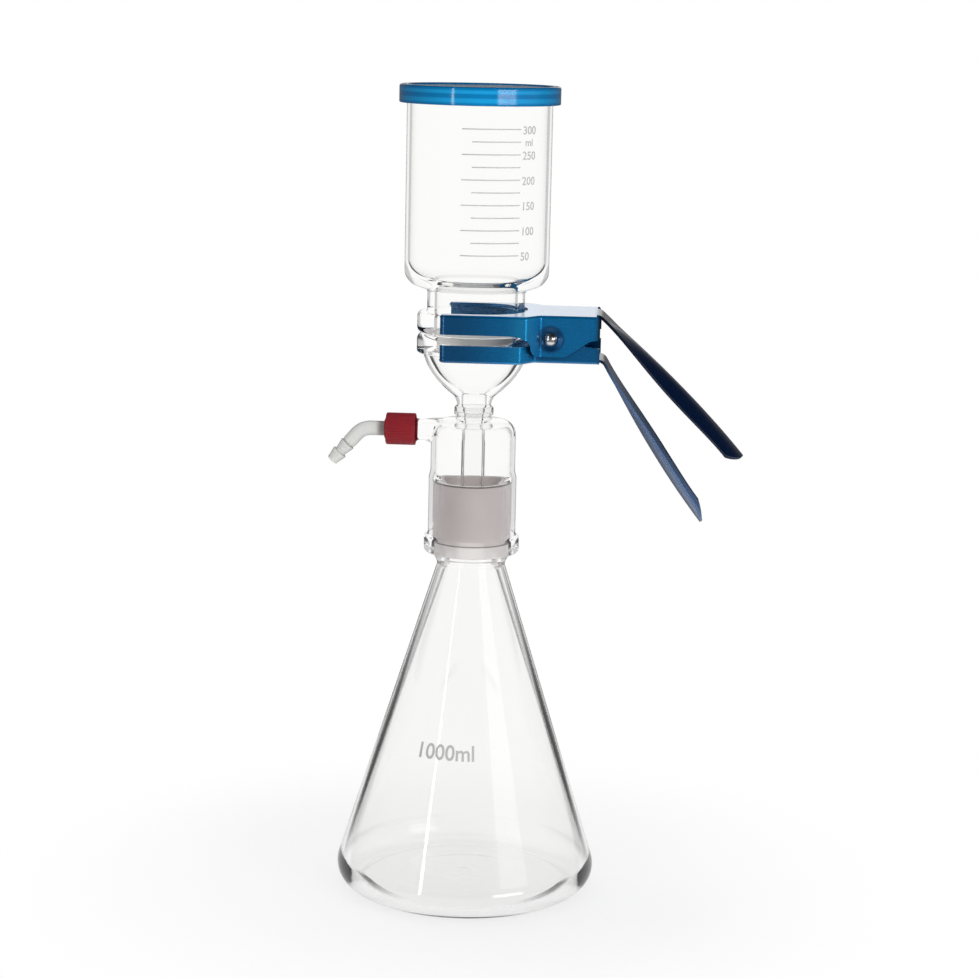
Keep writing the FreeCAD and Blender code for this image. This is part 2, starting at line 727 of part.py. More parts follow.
def make_spring():
    """Torsion spring coiled on the pin, with a leg under the upper plate and one on the lower."""
    width = spring_pitch * spring_turns
    reach = spring_reach
    upper_end = upper_plate_top - sheet - spring_gap - spring_wire_radius - pivot_z
    lower_end = pivot_z - (lower_plate_bottom + sheet + spring_gap + spring_wire_radius)

    def slope_of(end):
        # Angle of the tangent from the coil to a point that far along and away
        return math.atan2(end, reach) - math.asin(spring_radius / math.hypot(end, reach))

    upper_slope = slope_of(upper_end)
    lower_slope = slope_of(lower_end)
    start_angle = math.pi / 2.0 + upper_slope
    end_angle = -math.pi / 2.0 - lower_slope
    sweep = 2.0 * math.pi * spring_turns + (end_angle - start_angle) % (2.0 * math.pi)
    height = width * sweep / (2.0 * math.pi * spring_turns)
    helix = Part.makeHelix(spring_pitch, height, spring_radius)
    start = Vector(spring_radius, 0, 0)
    section = Part.Wire(Part.makeCircle(spring_wire_radius, start, Vector(0, 1, 0)))
    coil = Part.Wire(helix).makePipeShell([section], True, True)
    legs = []
    for slope, angle, offset, side in (
            (upper_slope, start_angle, -height / 2.0, 1),
            (lower_slope, end_angle, height / 2.0, -1)):
        foot = Vector(pivot_x + spring_radius * math.cos(angle), offset,
                      pivot_z + spring_radius * math.sin(angle))
        way = Vector(math.cos(slope), 0, side * math.sin(slope))
        length = math.sqrt(reach ** 2 + (upper_end if side > 0 else lower_end) ** 2
                           - spring_radius ** 2)
        legs.append(Part.makeCylinder(spring_wire_radius, length, foot, way))
        legs.append(Part.makeSphere(spring_wire_radius, foot))
    # The helix is made along Z from the +X side, then laid along Y and turned to its start
    coil.translate(Vector(0, 0, -height / 2.0))
    coil.rotate(Vector(0, 0, 0), Vector(1, 0, 0), -90)
    coil.rotate(Vector(0, 0, 0), Vector(0, 1, 0), -math.degrees(start_angle))
    coil.translate(Vector(pivot_x, 0, pivot_z))
    return coil.multiFuse(legs)


save("flask", make_flask())
save("filter_bowl", make_filter_bowl())
save("vacuum_chamber", make_vacuum_chamber())
save("sintered_disc", make_disc())
save("funnel", make_funnel())
save("lid", make_lid())
save("screw_cap", make_screw_cap())
save("seal_ring", make_seal())
save("hose_connector", make_hose_connector())
save("clamp_upper_jaw", make_upper_jaw())
save("clamp_lower_jaw", make_lower_jaw())
save("pivot_pin", make_pin())
save("torsion_spring", make_spring())
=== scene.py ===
import math

import bmesh
import bpy
from mathutils import Matrix, Quaternion, Vector


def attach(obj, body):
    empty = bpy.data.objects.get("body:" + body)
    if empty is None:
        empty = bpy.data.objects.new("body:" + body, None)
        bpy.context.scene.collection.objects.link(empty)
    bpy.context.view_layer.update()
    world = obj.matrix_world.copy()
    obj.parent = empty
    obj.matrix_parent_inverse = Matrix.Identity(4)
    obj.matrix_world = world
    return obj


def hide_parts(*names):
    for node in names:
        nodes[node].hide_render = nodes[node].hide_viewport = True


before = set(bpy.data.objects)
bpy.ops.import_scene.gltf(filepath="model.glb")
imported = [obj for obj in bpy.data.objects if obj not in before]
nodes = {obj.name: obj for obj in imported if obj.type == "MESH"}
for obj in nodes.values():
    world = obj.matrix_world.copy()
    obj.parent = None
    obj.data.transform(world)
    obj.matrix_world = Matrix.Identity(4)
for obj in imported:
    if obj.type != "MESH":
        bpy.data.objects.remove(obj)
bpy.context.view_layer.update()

mm = 0.001


class Wire:
    # One output socket, so that sums on sockets read as plain sums
    def __init__(self, graph, socket):
        self.graph = graph
        self.socket = socket

    def maths(self, operation, *terms):
        return self.graph.add("ShaderNodeMath", {"operation": operation}, dict(enumerate(terms)))

    def __add__(self, other):
        return self.maths("ADD", self, other)

    __radd__ = __add__

    def __mul__(self, other):
        return self.maths("MULTIPLY", self, other)

    __rmul__ = __mul__

    def __sub__(self, other):
        return self.maths("SUBTRACT", self, other)

    def __rsub__(self, other):
        return self.maths("SUBTRACT", other, self)

    def __truediv__(self, other):
        return self.maths("DIVIDE", self, other)

    def __rtruediv__(self, other):
        return self.maths("DIVIDE", other, self)

    def __pow__(self, other):
        return self.maths("POWER", self, other)

    def above(self, other):
        return self.maths("GREATER_THAN", self, other)

    def ramp(self, low, high, start=0.0, end=1.0):
        return self.graph.add("ShaderNodeMapRange", {"interpolation_type": "SMOOTHSTEP"},
                              {"Value": self, "From Min": low, "From Max": high,
                               "To Min": start, "To Max": end})


class Graph:
    # A node tree that is filled through one method
    def __init__(self, tree):
        self.tree = tree

    def add(self, kind, settings=None, sockets=None, out=0):
        # Gives the named output, or a list of them where out is a tuple of names
        node = self.tree.nodes.new(kind)
        for key, value in (settings or {}).items():
            setattr(node, key, value)
        for key, value in (sockets or {}).items():
            self.feed(node.inputs[key], value)
        if isinstance(out, tuple):
            return [Wire(self, node.outputs[name]) for name in out]
        return Wire(self, node.outputs[out]) if len(node.outputs) else node

    def feed(self, socket, value):
        if isinstance(value, Wire):
            self.tree.links.new(value.socket, socket)
        elif isinstance(value, tuple) and len(value) == 3 and socket.type == "RGBA":
            socket.default_value = (*value, 1.0)
        else:
            socket.default_value = value

    def colourMix(self, factor, first, second):
        return self.add("ShaderNodeMix", {"data_type": "RGBA"},
                        {0: factor, 6: first, 7: second}, out=2)

    def noise(self, place, scale, detail=2.0):
        return self.add("ShaderNodeTexNoise", None,
                        {"Vector": place, "Scale": scale, "Detail": detail})

    def split(self, vector):
        return self.add("ShaderNodeSeparateXYZ", None, {0: vector}, out=(0, 1, 2))

    def bump(self, height, strength, distance):
        return self.add("ShaderNodeBump", None,
                        {"Strength": strength, "Distance": distance, "Height": height})


class Finish(Graph):
    # A material whose surface is one Principled shader, unless told otherwise
    def __init__(self, name):
        self.material = bpy.data.materials.new(name)
        self.material.use_nodes = True
        super().__init__(self.material.node_tree)
        self.tree.nodes.clear()
        self.place = self.add("ShaderNodeTexCoord", out="Object")

    def surface(self, sockets):
        return self.add("ShaderNodeBsdfPrincipled", None, sockets)

    def close(self, shader):
        self.add("ShaderNodeOutputMaterial", None, {"Surface": shader})
        return self.material


studio = {
    "eye": (0.0811, -1.3261, 0.4663),
    "pitch": -10.6,               # degrees
    "yaw": -0.38,                 # from the glassware's axis
    "roll": 1.23,
    "lens": 93.9,
    "worldLevel": 0.62,
    "mirrorLevel": 0.16,          # the room as bright metal and plastic see it
    "wallLevel": 0.30,            # what its right-hand wall adds
    "ceilingLevel": 0.015,        # and the same overhead
    "panelLevel": 8.0,            # the soft box in front of it, at the camera's right
    "sheetShift": 0.07,           # sines of the angles beside the view at which
    "sheetHalf": 0.20,            # the white sheet ends
    "flagEnd": 0.62,              # and the black flags end
    "nearFlags": 0.92,            # how black they are low down, behind the flask
    "farFlags": 0.40,             # and higher up
    "floorColour": (0.96, 0.96, 0.96),
    "floorReach": 0.26,           # the floor is lit paper within this, plain white beyond
    "floorHalf": 8.0,             # from its middle to its sides
}


def makeCamera():
    eye = Vector(studio["eye"])
    heading = Vector((-eye.x, -eye.y, 0)).normalized()
    heading.rotate(Quaternion((0, 0, 1), math.radians(studio["yaw"])))
    pitch = math.radians(studio["pitch"])
    forward = heading * math.cos(pitch) + Vector((0, 0, math.sin(pitch)))
    camera = bpy.data.objects.new("camera", bpy.data.cameras.new("camera"))
    camera.data.lens = studio["lens"]
    camera.data.sensor_width = 36.0
    camera.data.clip_end = 50.0
    camera.rotation_mode = "QUATERNION"
    camera.location = eye
    turn = Quaternion((0, 0, 1), math.radians(studio["roll"]))
    camera.rotation_quaternion = forward.to_track_quat("-Z", "Y") @ turn
    bpy.context.scene.collection.objects.link(camera)
    bpy.context.scene.camera = camera


def rayKinds(graph):
    return graph.add("ShaderNodeLightPath",
                     out=("Is Camera Ray", "Is Glossy Ray", "Is Transmission Ray"))


def darkFlags(right, ahead, clearing=0.0):
    # Black flags stand beside the white sheet behind the glass and draw its edges dark
    off = right + studio["sheetShift"]
    off = off.maths("ABSOLUTE", off) - clearing
    sheet, flag = studio["sheetHalf"], studio["flagEnd"]
    span = off.ramp(sheet, sheet + 0.06) * off.ramp(flag, flag + 0.1, 1.0, 0.0)
    return span * ahead.ramp(0.45, 0.65)


def makeWorld():
    world = bpy.data.worlds.new("studio")
    world.use_nodes = True
    graph = Graph(world.node_tree)
    world.node_tree.nodes.clear()
    right, ahead, up = graph.split(graph.add("ShaderNodeTexCoord", out="Generated"))
    isCamera, isGlossy, isClear = rayKinds(graph)
    # Metal and plastic mirror a dim room, a pale wall to the right and a bright card behind
    low = up.ramp(0.2, 0.45, 1.0, 0.0)
    wall = right.ramp(0.42, 0.55, 0.0, studio["wallLevel"]) * (1 - ahead.ramp(-0.1, 0.2))
    card = up.ramp(0.05, 0.1) * ahead.above(0.0)
    card = card * right.maths("ABSOLUTE", right).ramp(0.12, 0.28, 1.0, 0.0)
    panel = right.ramp(0.46, 0.50) * right.ramp(0.80, 0.84, 1, 0) * (1 - ahead.above(0.0))
    panel = panel * up.ramp(-0.30, -0.22) * up.ramp(0.10, 0.2, 1, 0) * studio["panelLevel"]
    mirrored = isGlossy * (1 - isClear)
    seen = mirrored * (low * (wall + card + studio["mirrorLevel"]) + studio["ceilingLevel"]
                       + panel)
    through = isClear * (1 - darkFlags(right, ahead) * studio["farFlags"])
    plain = (1 - isGlossy.maths("MAXIMUM", isGlossy, isClear)) * studio["worldLevel"]
    strength = isCamera.maths("MAXIMUM", isCamera, seen + through + plain)
    backdrop = graph.add("ShaderNodeBackground", None,
                         {"Color": (1.0, 1.0, 1.0), "Strength": strength})
    graph.add("ShaderNodeOutputWorld", None, {"Surface": backdrop})
    bpy.context.scene.world = world
    bpy.context.scene.view_settings.view_transform = "Standard"


def around(azimuth, distance, height):
    # A place round the object: azimuth 0 is in front of it, 90 at its right
    angle = math.radians(azimuth)
    return (distance * math.sin(angle), -distance * math.cos(angle), height)


def addLamp(name, place, aim, size, power, mirrored=False, throughGlass=False):
    lamp = bpy.data.objects.new(name, bpy.data.lights.new(name, "AREA"))
    lamp.data.shape = "RECTANGLE"
    lamp.data.size, lamp.data.size_y = size
    lamp.data.energy = power
    lamp.visible_camera = False
    lamp.visible_glossy = mirrored
    lamp.visible_transmission = throughGlass
    lamp.location = place
    lamp.rotation_mode = "QUATERNION"
    lamp.rotation_quaternion = (Vector(aim) - Vector(place)).to_track_quat("-Z", "Y")
    bpy.context.scene.collection.objects.link(lamp)


def makeFloor():
    graph = Finish("floorPaper")
    away = graph.add("ShaderNodeVectorMath", {"operation": "LENGTH"}, {0: graph.place}, out="Value")
    isCamera, isGlossy, isClear = rayKinds(graph)
    x, y, _ = graph.split(graph.place)
    flags = darkFlags(x / away, y / away, 0.08 / away) * away.ramp(0.08, 0.16)
    flags = flags * away.ramp(0.9, 2.5, studio["nearFlags"], studio["farFlags"])
    clearly = isCamera.maths("MAXIMUM", isCamera, isClear)
    mirrored = isGlossy * (1 - isClear)
    grain = graph.noise(graph.place, 900.0, 3.0)
    tint = graph.colourMix(grain, studio["floorColour"], (0.98, 0.98, 0.98))
    paper = graph.surface({"Base Color": tint, "Roughness": 0.9, "Specular IOR Level": 0.1})
    glow = graph.add("ShaderNodeEmission", None,
                     {"Color": (1.0, 1.0, 1.0),
                      "Strength": isCamera.maths("MAXIMUM", isCamera, isClear * (1 - flags))
                                  + mirrored * studio["mirrorLevel"]})
    share = away.ramp(studio["floorReach"] * 0.4, studio["floorReach"], 0.4, 1.0)
    share = share * clearly + mirrored * away.ramp(0.25, 0.5)
    shader = graph.add("ShaderNodeMixShader", None, {0: share, 1: paper, 2: glow})
    mesh = bpy.data.meshes.new("floor")
    reach = studio["floorHalf"]
    corners = [(x, y, 0) for x, y in ((-reach, -reach), (reach, -reach), (reach, reach),
                                      (-reach, reach))]
    mesh.from_pydata(corners, [], [(0, 1, 2, 3)])
    mesh.materials.append(graph.close(shader))
    floor = bpy.data.objects.new("floor", mesh)
    bpy.context.scene.collection.objects.link(floor)


makeCamera()
makeWorld()
middle = (0, 0, 0.30)
addLamp("softBox", around(49.0, 1.27, 0.62), middle, (0.62, 1.0), 5.3)
addLamp("bandBox", around(49.0, 1.25, 0.62), middle, (0.62, 1.0), 3.2, throughGlass=True)
addLamp("stripBox", around(-35.0, 1.25, 0.55), middle, (0.06, 1.2), 2.8, mirrored=True)
addLamp("topBox", (-0.15, 0.25, 1.5), (0, 0, 0.2), (0.7, 0.7), 4.0)
makeFloor()
print("studio ready")


noTint = (0.985, 0.985, 0.98)
softShadow = (0.93, 0.93, 0.93)       # what is left of the light behind clear glass


def clearGlass(name, tint, edge, power, bending, thickEdge=False):
    graph = Finish(name)
    facing = graph.add("ShaderNodeLayerWeight", None, {"Blend": 0.5}, out="Facing")
    ripple = graph.noise(graph.place, 26.0, 1.0)
    smear = graph.noise(graph.place, 55.0, 3.0)
    # Painted shade: the colour darkens towards the edge colour where the glass is seen edge on
    glass = graph.surface({
        "Base Color": graph.colourMix(facing ** power, tint, edge),
        "Roughness": smear.ramp(0.35, 0.75, 0.0, 0.015),
        "Transmission Weight": 1.0,
        "IOR": bending,
        "Normal": graph.bump(ripple, 0.08, 0.0005),
    })
    if thickEdge:
        # Beside the bore a thick wall shows what is straight behind it, up to its dark outline
        straight = graph.add("ShaderNodeBsdfTransparent", None, {"Color": (0.95, 0.95, 0.95)})
        plain = facing.ramp(0.50, 0.60) * facing.ramp(0.80, 0.90, 0.85, 0.0)
        glass = graph.add("ShaderNodeMixShader", None, {0: plain, 1: glass, 2: straight})
    return graph.close(letLightThrough(graph, glass, softShadow))


def heelGlass(name):
    # Painted shade: the inside of the heel's front half is drawn nearly black towards the left and
    # the right, where thick glass would gather the dark of the room
    graph = Finish(name)
    x, y, up = graph.split(graph.place)
    smear = graph.noise(graph.place, 55.0, 3.0)
    heelShade = x.maths("ABSOLUTE", x).ramp(0.024, 0.050) * y.ramp(-0.022, -0.002, 1.0, 0.0)
    heelShade = heelShade * up.ramp(0.0050, 0.0078, 1.0, 0.0)
    glass = graph.surface({
        "Base Color": graph.colourMix(heelShade, noTint, (0.006, 0.006, 0.006)),
        "Roughness": smear.ramp(0.35, 0.75, 0.0, 0.015),
        "Transmission Weight": 1.0,
        "IOR": 1.47,
    })
    return graph.close(letLightThrough(graph, glass, softShadow))


def letLightThrough(graph, shader, tint):
    # Lamps and the light of the room pass straight through, so glass throws a pale shadow
    isShadow, isDiffuse = graph.add("ShaderNodeLightPath",
                                    out=("Is Shadow Ray", "Is Diffuse Ray"))
    passing = graph.add("ShaderNodeBsdfTransparent", None, {"Color": tint})
    return graph.add("ShaderNodeMixShader", None,
                     {0: isShadow.maths("MAXIMUM", isShadow, isDiffuse), 1: shader, 2: passing})


def groundGlass(name, dark, light):
    graph = Finish(name)
    grit = graph.noise(graph.place, 5200.0, 2.0)
    patches = graph.noise(graph.place, 60.0, 2.0)
    _, _, up = graph.split(graph.place)
    rings = graph.add("ShaderNodeTexNoise", {"noise_dimensions": "1D"},
                      {"W": up, "Scale": 1500.0, "Detail": 2.0})
    tone = graph.colourMix(patches.ramp(0.3, 0.7), dark, light)
    shader = graph.surface({
        "Base Color": tone,
        "Roughness": patches.ramp(0.3, 0.7, 0.52, 0.68),
        "Transmission Weight": 0.5,
        "IOR": 1.25,
        "Specular IOR Level": 0.3,
        "Normal": graph.bump(grit * 0.7 + rings * 0.3, 0.35, 0.00003),
    })
    return graph.close(letLightThrough(graph, shader, (0.72, 0.69, 0.69)))


def moulded(name, colour, deep, roughness, grain, shine=0.5):
    graph = Finish(name)
    cloud = graph.noise(graph.place, 45.0, 3.0)
    fine = graph.noise(graph.place, grain, 2.0)
    shader = graph.surface({
        "Base Color": graph.colourMix(cloud.ramp(0.3, 0.7), colour, deep),
        "Roughness": cloud.ramp(0.3, 0.7, roughness * 0.85, roughness * 1.15),
        "Specular IOR Level": shine,
        "IOR": 1.46,
        "Normal": graph.bump(fine, 0.15, 0.00002),
    })
    return graph.close(shader)


# Millimetres, and colours
clamp = {
    "pivotX": 40.1, "pivotZ": 301.475, "dish": 6.2, "earWidth": 25.0,
    "upperBend": 63.5, "lowerBend": 64.8,
    # The first two dye tones are the blue's own; the third is a painted highlight, shade is painted
    # shade, and the handles' colours are painted shade on the upper jaw and a painted reflection on
    # the lower, with painted shade for their edges
    "dye": (0.0, 0.24, 0.60), "deepDye": (0.0, 0.21, 0.52), "paintedGlintColour": (0.02, 0.42, 0.80),
    "shade": (0.0, 0.05, 0.15),
    "upperHandleShade": (0.0, 0.006, 0.028), "upperEdgeShade": (0.0, 0.002, 0.006),
    "lowerHandleReflection": (0.06, 0.11, 0.22), "lowerEdgeShade": (0.0, 0.006, 0.025),
}


def anodised(name, bend, paintedHandle, edge, rearShade):
    # Blue dye with painted light: painted shade along the prongs, in the dish round the pivot, in
    # crevices and beyond the step on the lower jaw, a painted highlight near the step, and handles
    # painted nearly black
    graph = Finish(name)
    spread = graph.add("ShaderNodeMapping", None,
                       {"Vector": graph.place, "Scale": (8.0, 90.0, 90.0)})
    rolled = graph.noise(spread, 20.0, 2.0)
    cloud = graph.noise(graph.place, 38.0, 3.0)
    # Painted shade in crevices
    creviceShade = graph.add("ShaderNodeAmbientOcclusion", {"samples": 8}, {"Distance": 0.006}, out="AO")
    x, y, z = graph.split(graph.place)
    away = ((x - clamp["pivotX"] * mm) ** 2.0 + (z - clamp["pivotZ"] * mm) ** 2.0) ** 0.5
    # Painted shade in the dish round the pivot
    dimpleShade = away.ramp(clamp["dish"] * mm * 0.9, clamp["dish"] * mm * 1.35, 1.0, 0.0)
    dimpleShade = dimpleShade * y.maths("ABSOLUTE", y).above((clamp["earWidth"] - 1.2) * mm)
    # Painted shade, deepest towards the prongs' tips
    along = x.ramp(-0.010, 0.028, 0.75, 0.1)
    # Painted highlight near the step
    paintedGlint = x.ramp(0.016, 0.026) * x.ramp(0.028, 0.036, 1.0, 0.0)
    dye = graph.colourMix(cloud.ramp(0.3, 0.7), clamp["dye"], clamp["deepDye"])
    dye = graph.colourMix(paintedGlint * 0.45, dye, clamp["paintedGlintColour"])
    # All the painted shade, taken together
    depth = along.maths("MAXIMUM", along, dimpleShade * 0.95)
    depth = depth.maths("MAXIMUM", depth, creviceShade.ramp(0.45, 0.95, 0.85, 0.0))
    # Painted shade beyond the step, on the lower jaw only
    depth = depth.maths("MAXIMUM", depth, x.ramp(0.030, 0.036, 0.0, rearShade))
    dye = graph.colourMix(depth, dye, clamp["shade"])
    # Painted shade at the handles' roots and along their far edges
    darkened = x.ramp((bend + 2.0) * mm, (bend + 9.0) * mm, 0.85, 0.0)
    darkened = darkened.maths("MAXIMUM", darkened, y.ramp(0.0140, 0.0156))
    # The handles' colours: painted shade on the upper jaw, a painted reflection on the lower
    grip = graph.colourMix(darkened, paintedHandle, edge)
    onHandle = x.ramp((bend - 2.0) * mm, (bend + 2.0) * mm)
    shader = graph.surface({
        "Base Color": graph.colourMix(onHandle, dye, grip),
        "Metallic": onHandle.ramp(0.0, 1.0, 0.7, 0.2),
        "Roughness": rolled.ramp(0.3, 0.7, 0.27, 0.33),
        "Specular IOR Level": 0.3,
        "Coat Weight": onHandle.ramp(0.0, 1.0, 1.0, 0.35),
        "Coat IOR": 1.42,
        "Coat Roughness": 0.08,
        "Normal": graph.bump(rolled, 0.02, 0.00002),
    })
    return graph.close(shader)


def bareMetal(name, colour, low, high):
    graph = Finish(name)
    spread = graph.add("ShaderNodeMapping", None,
                       {"Vector": graph.place, "Scale": (1.0, 30.0, 1.0)})
    marks = graph.noise(spread, 900.0, 3.0)
    shader = graph.surface({
        "Base Color": graph.colourMix(marks, colour, tuple(part * 0.8 for part in colour)),
        "Metallic": 1.0,
        "Roughness": marks.ramp(0.3, 0.7, low, high),
        "Normal": graph.bump(marks, 0.05, 0.00002),
    })
    return graph.close(shader)


def lidPlastic(name, top):
    # Translucent blue, with painted light: the lighter bands under the lip and at the lower edge
    # are painted highlights, the darker top rim and edges painted shade
    graph = Finish(name)
    facing = graph.add("ShaderNodeLayerWeight", None, {"Blend": 0.5}, out="Facing")
    cloud = graph.noise(graph.place, 45.0, 3.0)
    _, _, up = graph.split(graph.place)
    depth = (top - up) / mm
    # Painted highlights: two lighter bands below the top
    paintedBands = depth.ramp(1.4, 2.0) * depth.ramp(3.0, 3.8, 1, 0)
    paintedBands = paintedBands.maths("MAXIMUM", paintedBands, depth.ramp(5.2, 6.2) * depth.ramp(7.4, 8.4, 1, 0))
    body = graph.colourMix(cloud.ramp(0.3, 0.7), (0.0, 0.185, 0.43), (0.0, 0.16, 0.39))
    body = graph.colourMix(paintedBands * 0.85, body, (0.008, 0.31, 0.64))
    # Painted highlight along the lower edge
    body = graph.colourMix(depth.ramp(9.2, 9.7, 0, 0.5), body, (0.12, 0.42, 0.62))
    # Painted shade on the top rim
    body = graph.colourMix(depth.ramp(0.3, 0.8, 0.7, 0), body, (0.0, 0.08, 0.19))
    # Painted shade where the lid is seen edge on
    body = graph.colourMix(facing * 0.95, body, (0.0, 0.04, 0.115))
    shader = graph.surface({
        "Base Color": body,
        "Roughness": cloud.ramp(0.3, 0.7, 0.07, 0.11),
        "Specular IOR Level": 0.4,
        "IOR": 1.46,
        "Normal": graph.bump(cloud, 0.1, 0.0001),
    })
    return graph.close(shader)


def milkyPlastic(name, colour, edge):
    # Translucent, with painted shade: darker where it is seen edge on and in its crevices, and
    # brown in the shade of the cap
    graph = Finish(name)
    facing = graph.add("ShaderNodeLayerWeight", None, {"Blend": 0.5}, out="Facing")
    cloud = graph.noise(graph.place, 70.0, 3.0)
    x, _, _ = graph.split(graph.place)
    creviceShade = graph.add("ShaderNodeAmbientOcclusion", {"samples": 6}, {"Distance": 0.003},
                        out="AO")
    # Painted shade where it is seen edge on and in crevices
    body = graph.colourMix(facing ** 2.2 * 0.9, colour, edge)
    body = graph.colourMix(creviceShade.ramp(0.5, 0.95, 0.5, 0.0), body, edge)
    # Painted shade of the cap, in brown
    shaded = graph.colourMix(x.ramp(-0.0520, -0.0485, 0.0, 0.75), body, (0.12, 0.09, 0.08))
    shader = graph.surface({
        "Base Color": shaded,
        "Roughness": cloud.ramp(0.3, 0.7, 0.22, 0.32),
        "IOR": 1.46,
        "Normal": graph.bump(cloud, 0.1, 0.0001),
    })
    return graph.close(shader)


# A clear glass has a tint, the painted shade it darkens to where it is seen edge on, how late that
# comes, and its
# refraction: low where the photographed glass has pale edges
finishes = {
    "clear": clearGlass("clearGlass", noTint, (0.62, 0.62, 0.61), 8.0, 1.47),
    "heel": heelGlass("heelGlass"),
    "pale": clearGlass("paleGlass", noTint, (0.66, 0.66, 0.65), 8.0, 1.10),
    "inner": clearGlass("innerGlass", noTint, (0.54, 0.54, 0.53), 6.0, 1.10),
    "sleeve": clearGlass("sleeveGlass", noTint, (0.72, 0.72, 0.71), 8.0, 1.15, True),
    # Painted shade: the bead is given a grey tint and a near-black edge
    "bead": clearGlass("beadGlass", (0.86, 0.86, 0.85), (0.16, 0.16, 0.155), 3.0, 1.10),
    "cup": clearGlass("cupGlass", noTint, (0.74, 0.74, 0.73), 8.0, 1.06),
    "cupInside": clearGlass("cupInside", noTint, (0.42, 0.42, 0.41), 6.0, 1.06),
    # Painted shade: a dark band round the top of the cup's throat
    "cupThroat": clearGlass("cupThroat", (0.80, 0.80, 0.79), (0.22, 0.22, 0.215), 3.0, 1.06),
    "ground": groundGlass("groundGlass", (0.60, 0.555, 0.55), (0.64, 0.595, 0.59)),
    "groundLine": groundGlass("groundLine", (0.20, 0.18, 0.18), (0.26, 0.24, 0.24)),
    "groundEdge": groundGlass("groundEdge", (0.74, 0.71, 0.70), (0.80, 0.77, 0.76)),
    "sintered": moulded("sinteredGlass", (0.80, 0.79, 0.77), (0.70, 0.69, 0.67), 0.85, 5200.0),
    "lid": lidPlastic("blueLid", 429.1 * mm),
    "cap": moulded("redCap", (0.26, 0.010, 0.018), (0.21, 0.007, 0.014), 0.45, 2600.0, 0.3),
    "seal": moulded("sealRubber", (0.62, 0.61, 0.58), (0.52, 0.51, 0.48), 0.6, 3800.0),
    "milky": milkyPlastic("milkyPlastic", (0.62, 0.62, 0.60), (0.20, 0.20, 0.19)),
    # The jaws' two finishes differ only in painted light: their handles' colours and the painted
    # shade beyond the step on the lower jaw
    "upperBlue": anodised("upperAnodised", clamp["upperBend"], clamp["upperHandleShade"],
                          clamp["upperEdgeShade"], 0.0),
    "lowerBlue": anodised("lowerAnodised", clamp["lowerBend"], clamp["lowerHandleReflection"],
                          clamp["lowerEdgeShade"], 0.45),
    "rivet": bareMetal("rivetSteel", (0.82, 0.81, 0.80), 0.16, 0.3),
    "wire": bareMetal("springSteel", (0.56, 0.56, 0.57), 0.25, 0.4),
    "enamel": moulded("printEnamel", (0.46, 0.46, 0.46), (0.40, 0.40, 0.40), 0.6, 4200.0),
    "lineEnamel": moulded("lineEnamel", (0.62, 0.62, 0.62), (0.56, 0.56, 0.56), 0.6, 4200.0),
}
print("finishes ready")


def roundedOutline(corners, closed):
    # Points (r, z) in metres along an outline whose corners (r, z, fillet) are in millimetres
    count = len(corners)
    points = [Vector(corner[:2]) for corner in corners]
    runs = []
    for i, here in enumerate(points):
        atEnd = not closed and i in (0, count - 1)
        if atEnd:
            runs.append([here])
            continue
        back = points[i - 1] - here
        ahead = points[(i + 1) % count] - here
        room = 0.48 * min(back.length, ahead.length)
        back.normalize()
        ahead.normalize()
        half = back.angle(ahead) / 2.0
        turn = math.pi - 2.0 * half
        reach = 0.0 if turn < 2e-4 else min(corners[i][2] / math.tan(half), room)
        if reach < 1e-6:
            runs.append([here])
            continue
        radius = reach * math.tan(half)
        inward = (back + ahead).normalized()
        centre = here + inward * (radius / math.sin(half))
        first = here + back * reach - centre
        steps = max(3, math.ceil(math.degrees(turn) / 7.0))
        way = 1.0 if first.y * back.x - first.x * back.y > 0 else -1.0
        arc = []
        for step in range(steps + 1):
            angle = way * turn * step / steps
            arc.append(centre + Vector((first.x * math.cos(angle) - first.y * math.sin(angle),
                                        first.x * math.sin(angle) + first.y * math.cos(angle))))
        runs.append(arc)
    line = []
    for i, run in enumerate(runs):
        line.extend(run)
        if closed or i < count - 1:
            line.extend(supports(run[-1], runs[(i + 1) % count][0]))
    return [(point.x * mm, point.y * mm) for point in line]


def supports(start, end, margin=0.35, spacing=9.0):
    # Extra points on a straight run, so that smooth shading stays at its rounded ends
    length = (end - start).length
    if length < 3 * margin:
        return []
    places = [margin]
    pieces = math.ceil(length / spacing)
    places += [length * step / pieces for step in range(1, pieces)]
    places.append(length - margin)
    return [start.lerp(end, place / length) for place in places]


class Shape(Graph):
    # A Geometry Nodes tree that takes the named inputs and gives one coated mesh
    def __init__(self, name, inputs):
        super().__init__(bpy.data.node_groups.new(name, "GeometryNodeTree"))
        for label, kind in inputs.items():
            self.tree.interface.new_socket(label, in_out="INPUT",
                                           socket_type="NodeSocket" + kind)
        self.tree.interface.new_socket("Solid", in_out="OUTPUT",
                                       socket_type="NodeSocketGeometry")
        labels = tuple(inputs)
        self.given = dict(zip(labels, self.add("NodeGroupInput", out=labels)))

    def close(self, geometry):
        solid = self.add("GeometryNodeRealizeInstances", None, {"Geometry": geometry})
        coated = self.add("GeometryNodeSetMaterial", None,
                          {"Geometry": solid, "Material": self.given["Finish"]})
        self.add("NodeGroupOutput", None, {0: coated})
        return self.tree


